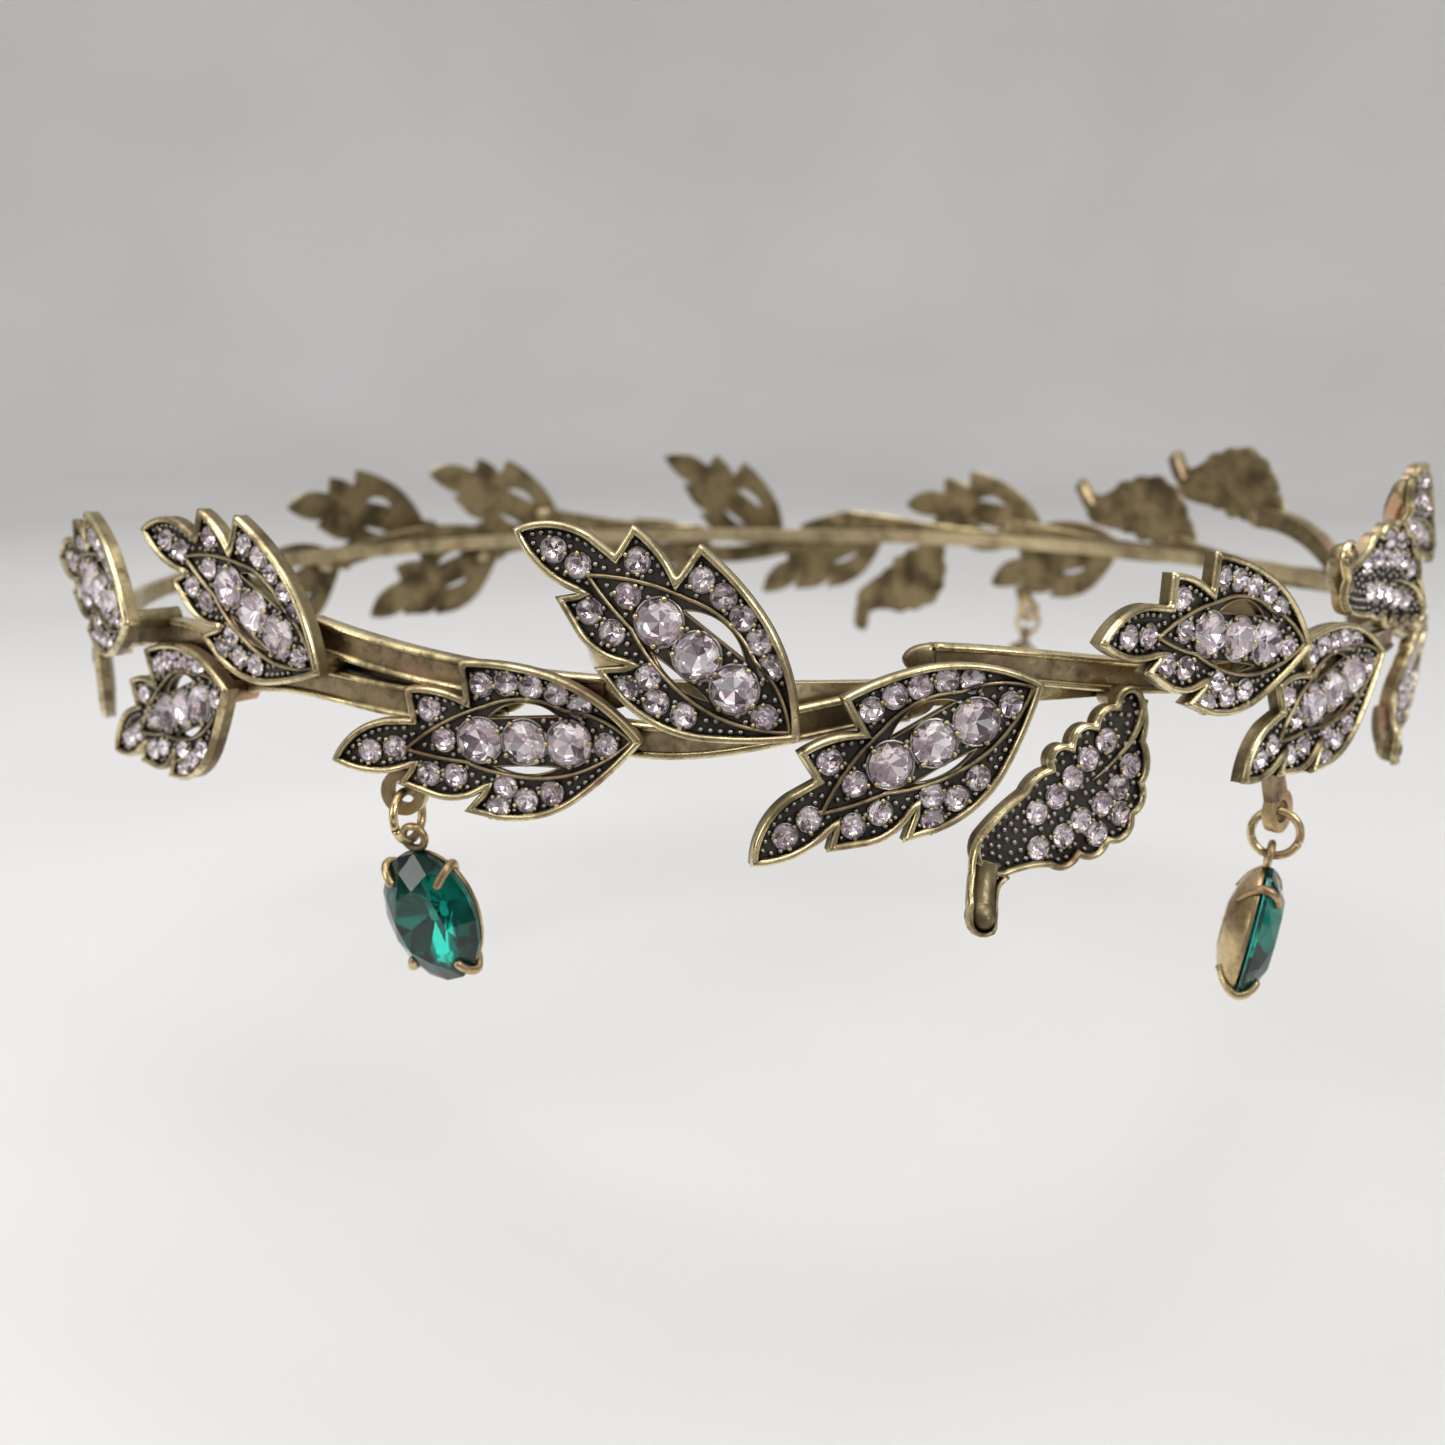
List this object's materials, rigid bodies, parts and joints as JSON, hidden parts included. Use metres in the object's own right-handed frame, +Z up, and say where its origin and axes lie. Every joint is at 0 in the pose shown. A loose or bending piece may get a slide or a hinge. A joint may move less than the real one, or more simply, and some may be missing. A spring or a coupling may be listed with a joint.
{
  "type": "bridal tiara",
  "caption": "Full-circle leaf wreath tiara: a hoop with cast, stone-set leaf sprigs and swinging oval drops.",
  "frame": {"origin": "centre of the hoop, at mid height of its band", "axes": "+Z up, the front of the head faces -Y, the wearer's left is +X"},
  "size_m": [0.1912, 0.1765, 0.0524],
  "materials": {
    "hoop": "polished antique gold plate",
    "castings": "antique gold plate, dark oxidised recesses, worn bright edges",
    "wire": "polished gold plate",
    "settings": "satin gold plate",
    "clear_stones": "foiled faceted glass, faint lilac tint",
    "green_stones": "faceted emerald green glass"
  },
  "bodies": {
    "tiara": {"front_drop_leaf": "castings", "hoop_band": "hoop", "large_stones_back_left": "clear_stones", "large_stones_back_right": "clear_stones", "large_stones_brow_left": "clear_stones", "large_stones_brow_right": "clear_stones", "large_stones_drop_leaf": "clear_stones", "large_stones_rear_left": "clear_stones", "large_stones_rear_right": "clear_stones", "large_stones_side_left": "clear_stones", "large_stones_side_right": "clear_stones", "large_stones_temple_left": "clear_stones", "large_stones_temple_right": "clear_stones", "small_stones_back_left": "clear_stones", "small_stones_back_right": "clear_stones", "small_stones_brow_left": "clear_stones", "small_stones_brow_right": "clear_stones", "small_stones_drop_leaf": "clear_stones", "small_stones_front_left": "clear_stones", "small_stones_front_right": "clear_stones", "small_stones_rear_left": "clear_stones", "small_stones_rear_right": "clear_stones", "small_stones_side_left": "clear_stones", "small_stones_side_right": "clear_stones", "small_stones_temple_left": "clear_stones", "small_stones_temple_right": "clear_stones", "sprig_back_left": "castings", "sprig_back_right": "castings", "sprig_brow_left": "castings", "sprig_brow_right": "castings", "sprig_front_left": "castings", "sprig_front_right": "castings", "sprig_rear_left": "castings", "sprig_rear_right": "castings", "sprig_side_left": "castings", "sprig_side_right": "castings", "sprig_temple_left": "castings", "sprig_temple_right": "castings"},
    "ring_front": {"jump_ring_front": "wire"},
    "drop_front": {"drop_setting_front": "settings", "green_stone_front": "green_stones"},
    "ring_brow_left": {"jump_ring_brow_left": "wire"},
    "drop_brow_left": {"drop_setting_brow_left": "settings", "green_stone_brow_left": "green_stones"},
    "ring_brow_right": {"jump_ring_brow_right": "wire"},
    "drop_brow_right": {"drop_setting_brow_right": "settings", "green_stone_brow_right": "green_stones"},
    "ring_side_left": {"jump_ring_side_left": "wire"},
    "drop_side_left": {"drop_setting_side_left": "settings", "green_stone_side_left": "green_stones"},
    "ring_side_right": {"jump_ring_side_right": "wire"},
    "drop_side_right": {"drop_setting_side_right": "settings", "green_stone_side_right": "green_stones"}
  },
  "joints": [
    {"name": "ring_sway_front", "type": "hinge", "parent": "tiara", "child": "ring_front", "pos_m": [0, -0.08732, -0.0095], "axis": [0, 1, 0], "range_deg": [-30, 30]},
    {"name": "drop_swing_front", "type": "hinge", "parent": "ring_front", "child": "drop_front", "pos_m": [0, -0.08732, -0.0118], "axis": [-1, 0, 0], "range_deg": [-20, 60]},
    {"name": "ring_sway_brow_left", "type": "hinge", "parent": "tiara", "child": "ring_brow_left", "pos_m": [0.07319, -0.05266, -0.01349], "axis": [-0.3134, 0.9496, 0], "range_deg": [-30, 30]},
    {"name": "drop_swing_brow_left", "type": "hinge", "parent": "ring_brow_left", "child": "drop_brow_left", "pos_m": [0.07319, -0.05266, -0.01579], "axis": [-0.9496, -0.3134, 0], "range_deg": [-35, 40]},
    {"name": "ring_sway_brow_right", "type": "hinge", "parent": "tiara", "child": "ring_brow_right", "pos_m": [-0.07319, -0.05266, -0.01349], "axis": [0.3134, 0.9496, 0], "range_deg": [-30, 30]},
    {"name": "drop_swing_brow_right", "type": "hinge", "parent": "ring_brow_right", "child": "drop_brow_right", "pos_m": [-0.07319, -0.05266, -0.01579], "axis": [-0.9496, 0.3134, 0], "range_deg": [-35, 40]},
    {"name": "ring_sway_side_left", "type": "hinge", "parent": "tiara", "child": "ring_side_left", "pos_m": [0.08383, 0.03103, -0.00949], "axis": [-0.9378, -0.3471, 0], "range_deg": [-30, 30]},
    {"name": "drop_swing_side_left", "type": "hinge", "parent": "ring_side_left", "child": "drop_side_left", "pos_m": [0.0839, 0.03084, -0.01178], "axis": [0.3458, -0.9343, 0.0872], "range_deg": [-35, 40]},
    {"name": "ring_sway_side_right", "type": "hinge", "parent": "tiara", "child": "ring_side_right", "pos_m": [-0.08383, 0.03103, -0.00949], "axis": [0.9378, -0.3471, 0], "range_deg": [-30, 30]},
    {"name": "drop_swing_side_right", "type": "hinge", "parent": "ring_side_right", "child": "drop_side_right", "pos_m": [-0.0839, 0.03084, -0.01178], "axis": [0.3458, 0.9343, -0.0872], "range_deg": [-35, 40]}
  ]
}
